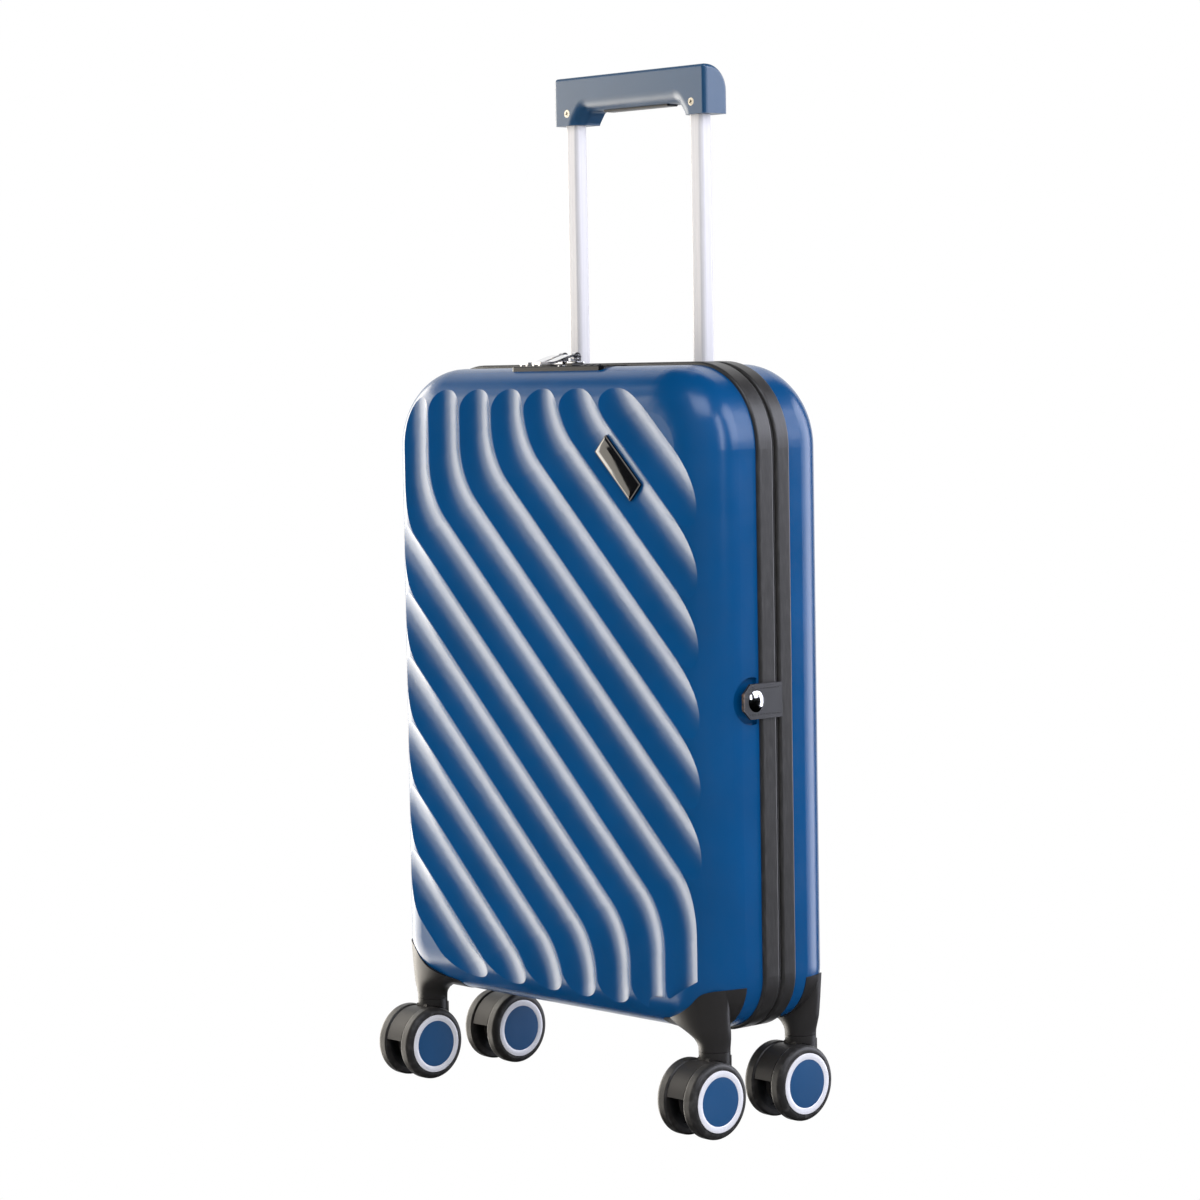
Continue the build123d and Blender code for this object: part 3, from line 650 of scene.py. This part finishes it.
def badge_bar():
    """A bare bar lying along its flute: thin frame, bevel, faintly bowed top."""
    clear_selection()
    lie = math.atan2(-DOWN_FLUTES[2], DOWN_FLUTES[0])
    bpy.ops.mesh.primitive_cube_add(size=1, location=BADGE_CENTRE, rotation=(0, lie, 0))
    bar = bpy.context.object
    bar.scale = BADGE_SIZE
    bpy.ops.object.transform_apply(location=False, rotation=True, scale=True)
    front = min(bar.data.polygons, key=lambda face: face.center.y)
    pick_points(bar, tuple(front.vertices))
    bpy.ops.object.mode_set(mode="EDIT")
    bpy.ops.mesh.select_mode(type="FACE")
    for width, rise in BADGE_STEPS:
        bpy.ops.mesh.inset(thickness=width, depth=rise)
    bpy.ops.mesh.select_mode(type="VERT")
    close_up()
    return bar


class CASE_OT_lock(bpy.types.Operator):
    """Black lock plate, plated pulls, dials with figures, and the badge"""

    bl_idname = "suitcase.lock"
    bl_label = "Lock"

    def execute(self, context):
        coal = (0.006, 0.006, 0.007)
        black = moulded("lock_black", coal, grain=1200, depth=0.00001, rough=0.22)
        wear(black, "lock_body", "lock_button", *DIALS)
        chrome = polished("bright_metal", (0.83, 0.83, 0.84), rough=0.08)
        wear(chrome, "key_cylinder", "pull_left", "pull_right", *SLIDERS, "snap_cap", "snap_stud")
        glossy = moulded("badge_black", coal, grain=300, depth=0.00001, rough=0.07, gloss=0.9)
        wear(glossy, "badge")

        paint = moulded("figure_white", (0.7, 0.7, 0.7), grain=900, depth=0.000005, rough=0.4)
        for dial, figure in zip(DIALS, FIGURES):
            piece = dial_figure(dial, figure, context.scene.case_sizes.figure_h)
            settle(piece, f"{dial}_figure", dial, paint, smooth=0)

        bar = badge_bar()
        settle(bar, "badge_bar", "front_half", glossy, smooth=25)
        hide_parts("badge")
        return {"FINISHED"}


class CASE_OT_strap(bpy.types.Operator):
    """Artificial leather strap with its stitching"""

    bl_idname = "suitcase.strap"
    bl_label = "Strap"

    def execute(self, context):
        colours = context.scene.case_colours
        sizes = context.scene.case_sizes
        wear(artificial_leather(colours.strap), "keeper_strap", "strap_root")
        thread = woven("thread", colours.thread, pitch=0.0004)

        # one stitch, then two rows of it along the strap's edges
        high_on_strap, wide, filled = 0.0007, 0.0006, 0.8
        from_tip, from_root, proud = 0.0065, 0.002, 0.0001
        low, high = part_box("keeper_strap")
        clear_selection()
        bpy.ops.mesh.primitive_uv_sphere_add(segments=8, ring_count=6, radius=0.5)
        stitch = context.object
        stitch.scale = (high_on_strap, sizes.stitch_pitch * filled, wide)
        rows = (low.z + sizes.stitch_inset, high.z - sizes.stitch_inset)
        start, end = low.y + from_tip, high.y - from_root
        count = int((end - start) / sizes.stitch_pitch) + 1
        step = (end - start) / (count - 1)
        made = []
        for z in rows:
            for n in range(count):
                one = copy_of(stitch)
                one.location = (high.x + proud, start + step * n, z)
                made.append(one)
        bpy.data.objects.remove(stitch)
        clear_selection()
        for one in made:
            one.select_set(True)
        context.view_layer.objects.active = made[0]
        bpy.ops.object.join()
        settle(made[0], "strap_stitching", "keeper", thread, smooth=60)
        return {"FINISHED"}


class CASE_OT_handle(bpy.types.Operator):
    """Grip, release button, screws and telescopic legs"""

    bl_idname = "suitcase.handle"
    bl_label = "Handle"

    def execute(self, context):
        colours = context.scene.case_colours
        blue = moulded(
            "grip_blue", colours.grip, grain=1100, depth=0.00002, rough=0.36, gloss=0.8, ior=1.6
        )
        wear(blue, "grip")
        black = moulded("grip_black", (0.008, 0.008, 0.008), grain=1100, depth=0.00004, rough=0.4)
        wear(black, "grip_button")
        wear(drawn_aluminium(), "leg_left", "leg_right", "outer_tube_left", "outer_tube_right")
        steel = polished("steel", (0.62, 0.58, 0.5), rough=0.25)
        wear(steel, "grip_screws", *[f"axle_{corner}" for corner in CORNERS])
        return {"FINISHED"}


def foot_wing():
    """A skin just over the shell's rounded lower edge, along the straight and round the corner."""
    lift, thick, straight, near = 0.0004, 0.003, 0.030, 0.001
    # a little more than the quarter of the round that faces forwards and down
    past_back, past_top = 0.0009, 0.0003
    clear_selection()
    bpy.ops.mesh.primitive_circle_add(
        vertices=160,
        radius=EDGE_R + lift,
        fill_type="NOTHING",
        location=(CORNER_X, EDGE_Y, EDGE_Z),
        rotation=(0, math.pi / 2, 0),
    )
    wing = bpy.context.object
    bpy.ops.object.mode_set(mode="EDIT")
    keep_side((0, EDGE_Y + past_back, 0), (0, -1, 0))
    keep_side((0, 0, EDGE_Z + past_top), (0, 0, -1))
    bpy.ops.mesh.duplicate()
    bpy.ops.mesh.extrude_region_move(TRANSFORM_OT_translate={"value": (-straight, 0, 0)})
    bpy.ops.object.mode_set(mode="OBJECT")

    # the arc left behind has no faces yet, and is spun round the case's corner
    at_corner = {
        v.index for v in wing.data.vertices if (wing.matrix_world @ v.co).x > CORNER_X - near
    }
    pick_points(wing, at_corner - {n for face in wing.data.polygons for n in face.vertices})
    bpy.ops.object.mode_set(mode="EDIT")
    bpy.ops.mesh.spin(
        steps=40,
        angle=math.radians(90),
        center=(CORNER_X, 0, CORNER_Z),
        axis=(0, 1, 0),
        dupli=False,
    )
    bpy.ops.mesh.select_all(action="SELECT")
    bpy.ops.mesh.remove_doubles(threshold=0.00002)
    close_up()
    skin = wing.modifiers.new("skin", "SOLIDIFY")
    skin.thickness = thick
    skin.offset = -1
    bpy.ops.object.modifier_apply(modifier=skin.name)
    return wing


def foot_post():
    """The post under the wing, round at its collar and drawn out towards the wing."""
    clear_selection()
    z, left, right, front, back = POST_RINGS[0]
    bpy.ops.mesh.primitive_circle_add(
        vertices=96,
        radius=(right - left) / (2 * MM_PER_M),
        fill_type="NGON",
        location=(
            (left + right) / (2 * MM_PER_M),
            (front + back) / (2 * MM_PER_M),
            z / MM_PER_M,
        ),
    )
    post = bpy.context.object
    bpy.ops.object.mode_set(mode="EDIT")
    bpy.ops.mesh.select_all(action="SELECT")
    for next_z, next_left, next_right, next_front, next_back in POST_RINGS[1:]:
        bpy.ops.mesh.extrude_region_move()
        wider = (next_right - next_left) / (right - left)
        deeper = (next_back - next_front) / (back - front)
        bpy.ops.transform.resize(value=(wider, deeper, 1))
        bpy.ops.transform.translate(value=(
            (next_left + next_right - left - right) / (2 * MM_PER_M),
            (next_front + next_back - front - back) / (2 * MM_PER_M),
            (next_z - z) / MM_PER_M,
        ))
        z, left, right, front, back = next_z, next_left, next_right, next_front, next_back
    close_up()
    return post


def foot_housing():
    """The front right housing: wing and post in one, cut to its outline and bored for the pin."""
    front_y, through = -0.06, 0.0405
    housing = foot_wing()
    combine(housing, foot_post(), "UNION")
    outline = [(x, front_y, z) for x, z in (*along_curve(BROW, 4), *UNDER_BROW)]
    combine(housing, drawn(outline, (0, through, 0)), "INTERSECT")
    clear_selection()
    bpy.ops.mesh.primitive_cylinder_add(vertices=48, **PIN_BORE)
    combine(housing, bpy.context.object, "DIFFERENCE")
    apply_place(housing)
    return housing


def place_housings(black):
    """Copies the front right housing to the other corners, as mirror images."""
    housing = foot_housing()
    to_left = Matrix.Diagonal((-1, 1, 1, 1))
    to_rear = Matrix.Translation((0, 2 * MIDDLE_Y, 0)) @ Matrix.Diagonal((1, -1, 1, 1))
    for corner in CORNERS:
        piece = copy_of(housing)
        if corner.endswith("left"):
            piece.data.transform(to_left)
        if corner.startswith("rear"):
            piece.data.transform(to_rear)
        # one mirroring turns the faces in, two turn them back
        if corner in ("front_left", "rear_right"):
            piece.data.flip_normals()
        body = "front_half" if corner.startswith("front") else "back_half"
        settle(piece, f"foot_{corner}", body, black, smooth=35)
        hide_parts(f"housing_{corner}")
    bpy.data.objects.remove(housing)


class CASE_OT_casters(bpy.types.Operator):
    """Caster housings, forks, tyres, bright rings and coloured caps"""

    bl_idname = "suitcase.casters"
    bl_label = "Casters"

    def execute(self, context):
        colours = context.scene.case_colours
        sizes = context.scene.case_sizes
        black = moulded(
            "caster_black", colours.caster, grain=1000, depth=0.00002, rough=0.4, gloss=0.3
        )
        wear(black, *[f"{part}_{corner}" for corner in CORNERS for part in ("housing", "fork")])
        wear(rubber(colours.tyre), *[f"tyre_{corner}_{hand}" for corner, hand, _ in WHEELS])
        place_housings(black)
        hub = moulded("hub_black", (0.01, 0.01, 0.011), grain=900, depth=0.00002, rough=0.35)
        wear(hub, *[f"hub_{corner}_{hand}" for corner, hand, _ in WHEELS])
        # the bright rings' pale colour is partly the plating's own and partly a painted reflection
        ring_metal_painted_reflection = pale_metal_painted_reflection("ring_metal_painted_reflection", (0.78, 0.78, 0.82))
        cap_blue = moulded("cap_blue", colours.cap, grain=1300, depth=0.00003, rough=0.4, gloss=0.6)

        # each step is a radius and a rise: the ring has a lip and a slope down to the
        # cap, and the cap a rounded edge and a flat face
        ring = turned(sizes.cap_r - 0.0005, (
            (sizes.cap_r, 0.0005),
            (sizes.cap_r + 0.0004, 0.0002),
            (sizes.ring_r - 0.0006, 0.0001),
            (sizes.ring_r - 0.0001, -0.0002),
            (sizes.ring_r, -0.0009),
        ), closed=False)
        cap = turned(sizes.cap_r, (
            (sizes.cap_r, 0.0004),
            (sizes.cap_r - 0.0003, 0.0002),
            (sizes.cap_r - 0.0012, 0.00005),
            (sizes.cap_r * 0.5, 0.0),
        ), closed=True)
        # how far each one sinks into its hub
        fittings = (
            ("ring", ring, 0.0001, "bright_metal", ring_metal_painted_reflection),
            ("cap", cap, 0.0003, "hub_blue", cap_blue),
        )
        for corner, hand, facing in WHEELS:
            wheel = f"wheel_{corner}_{hand}"
            low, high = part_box(f"hub_{corner}_{hand}")
            centre = (low + high) / 2
            face = high.x if facing > 0 else low.x
            for kind, form, sink, slot, material in fittings:
                piece = copy_of(form)
                place = Matrix.Translation((face - facing * sink, centre.y, centre.z))
                piece.data.transform(place @ Matrix.Rotation(math.radians(90 * facing), 4, "Y"))
                name = f"wheel_{kind}_{corner}_{hand}"
                settle(piece, name, wheel, material, smooth=30)
        bpy.data.objects.remove(ring)
        bpy.data.objects.remove(cap)
        return {"FINISHED"}


def outward(azimuth, height):
    """Direction from the case to a place on the stage, in degrees from its front."""
    a, e = math.radians(azimuth), math.radians(height)
    return Vector((math.sin(a) * math.cos(e), -math.cos(a) * math.cos(e), math.sin(e)))


def pale_floor():
    """A floor that lights the case from below and is plain white to the camera."""
    clear_selection()
    bpy.ops.mesh.primitive_plane_add(size=14, location=(0, 0, 0))
    floor = bpy.context.object
    floor.name = "floor"
    paper = Finish("floor_paper")
    paper.set(Base_Color=(0.8, 0.8, 0.8, 1), Roughness=0.9)
    seen = paper.seen_directly()
    white = paper.node("ShaderNodeEmission", {}, {"Color": WHITE, "Strength": 1.0})
    shaders = {0: seen, 1: paper.surface.outputs[0], 2: white.outputs[0]}
    both = paper.node("ShaderNodeMixShader", {}, shaders)
    paper.feed(paper.output.inputs["Surface"], both.outputs[0])
    floor.data.materials.append(paper.material)
    floor.visible_glossy = False


def softboxes(lights):
    """Soft lights round the case, each turned to its middle."""
    aim = Vector((0, 0.01, 0.36))
    key_edge, plain = lights.key * 0.17, (1.0, 1.0, 1.0)
    # name, degrees round from the front, degrees up, distance, width and height, power, colour
    boxes = (
        ("key_softbox", -82, -4, 1.9, (1.5, 2.4), lights.key, lights.key_colour),
        ("key_edge_softbox", -52, -4, 1.9, (0.6, 2.4), key_edge, lights.key_colour),
        ("fill_softbox", 38, 30, 2.6, (3.0, 3.0), lights.fill, plain),
        ("edge_softbox", 86, 24, 1.9, (0.28, 1.2), lights.edge, lights.side_colour),
        ("side_softbox", 122, 28, 1.9, (0.8, 1.3), lights.side, lights.side_colour),
        ("rear_softbox", 158, 8, 1.9, (1.0, 2.0), lights.rear, lights.side_colour),
        ("top_softbox", 50, 56, 1.9, (1.0, 0.8), lights.top, lights.side_colour),
    )
    for name, azimuth, height, away, size, watts, tone in boxes:
        out = outward(azimuth, height)
        bpy.ops.object.light_add(type="AREA", location=aim + out * away)
        lamp = bpy.context.object
        lamp.name = name
        lamp.data.shape = "RECTANGLE"
        lamp.data.size, lamp.data.size_y = size
        lamp.data.energy = watts
        lamp.data.color = tone
        lamp.rotation_euler = out.to_track_quat("Z", "Y").to_euler()
        lamp.visible_glossy = name != "fill_softbox"


def black_flags():
    """Flags seen only in reflections: the side towards the camera stays deep in colour."""
    black = Finish("flag_black")
    black.set(Base_Color=(0.001, 0.001, 0.001, 1), Roughness=1.0, Specular_IOR_Level=0.0)
    # name, degrees round from the front, distance, height, width and length, whether upright
    flags = [
        ("flag_floor", 47, 0.6, -1.3, (5.0, 5.0), False),
        ("flag_ceiling", 47, 0.6, 2.8, (5.0, 5.0), False),
    ]
    for azimuth in (-36, 4, 47, 90, 132, 172):
        flags.append((f"flag_{azimuth + 40}", azimuth, 2.4, 0.75, (1.95, 4.5), True))
    for name, azimuth, away, z, size, upright in flags:
        out = outward(azimuth, 0)
        clear_selection()
        bpy.ops.mesh.primitive_plane_add(size=1, location=(out.x * away, out.y * away, z))
        flag = bpy.context.object
        flag.name = name
        flag.scale = (size[0], size[1], 1)
        if upright:
            flag.rotation_euler = out.to_track_quat("Z", "Y").to_euler()
        else:
            flag.rotation_euler = Matrix.Rotation(math.radians(azimuth - 90), 3, "Z").to_euler()
        flag.data.materials.append(black.material)
        for sight in ("camera", "diffuse", "shadow", "transmission"):
            setattr(flag, f"visible_{sight}", False)


def studio_world(scene, strength):
    """Plain light from all round, white where the camera sees it."""
    world = bpy.data.worlds.new("studio")
    scene.world = world
    world.use_nodes = True
    sky = Nodes(world.node_tree)
    seen = sky.seen_directly()
    plain = sky.node("ShaderNodeBackground", {}, {"Color": WHITE, "Strength": strength})
    white = sky.node("ShaderNodeBackground", {}, {"Color": WHITE, "Strength": 1.0})
    shaders = {0: seen, 1: plain.outputs[0], 2: white.outputs[0]}
    both = sky.node("ShaderNodeMixShader", {}, shaders)
    sky.node("ShaderNodeOutputWorld", {}, {"Surface": both.outputs[0]})


def studio_camera(scene):
    """The camera, standing off the case's front right corner."""
    azimuth, pitch, roll = (math.radians(angle) for angle in CAMERA_TURN)
    ahead = Vector((
        -math.sin(azimuth) * math.cos(pitch),
        math.cos(azimuth) * math.cos(pitch),
        -math.sin(pitch),
    ))
    level = Vector((math.cos(azimuth), math.sin(azimuth), 0))
    plumb = level.cross(ahead)
    right = math.cos(roll) * level + math.sin(roll) * plumb
    up = -math.sin(roll) * level + math.cos(roll) * plumb
    bpy.ops.object.camera_add(location=CAMERA_PLACE)
    camera = bpy.context.object
    camera.name = "camera"
    camera.rotation_euler = Matrix((right, up, -ahead)).transposed().to_euler()
    camera.data.sensor_width = SENSOR_WIDTH
    camera.data.lens = CAMERA_LENS
    camera.data.clip_end = 50
    scene.camera = camera


class CASE_OT_stage(bpy.types.Operator):
    """Pale floor, soft lights, black flags and the camera"""

    bl_idname = "suitcase.stage"
    bl_label = "Stage"

    def execute(self, context):
        lights = context.scene.case_lights
        pale_floor()
        softboxes(lights)
        black_flags()
        studio_world(context.scene, lights.world)
        studio_camera(context.scene)
        context.scene.view_settings.view_transform = "Standard"
        return {"FINISHED"}


class CASE_PT_panel(bpy.types.Panel):
    """Steps that dress the suitcase"""

    bl_idname = "CASE_PT_panel"
    bl_label = "Suitcase"
    bl_space_type = "VIEW_3D"
    bl_region_type = "UI"
    bl_category = "Suitcase"

    def draw(self, context):
        for step in STEPS:
            self.layout.operator(step.bl_idname)


STEPS = (
    CASE_OT_shells,
    CASE_OT_zip,
    CASE_OT_lock,
    CASE_OT_strap,
    CASE_OT_handle,
    CASE_OT_casters,
    CASE_OT_stage,
)
GROUPS = (CaseColours, CaseSizes, CaseLights)


def register():
    for kind in GROUPS + STEPS + (CASE_PT_panel,):
        bpy.utils.register_class(kind)
    bpy.types.Scene.case_colours = PointerProperty(type=CaseColours)
    bpy.types.Scene.case_sizes = PointerProperty(type=CaseSizes)
    bpy.types.Scene.case_lights = PointerProperty(type=CaseLights)


def unregister():
    del bpy.types.Scene.case_lights
    del bpy.types.Scene.case_sizes
    del bpy.types.Scene.case_colours
    for kind in reversed(GROUPS + STEPS + (CASE_PT_panel,)):
        bpy.utils.unregister_class(kind)


def main():
    register()
    for step in STEPS:
        group, name = step.bl_idname.split(".")
        getattr(getattr(bpy.ops, group), name)()


if __name__ == "__main__":
    main()
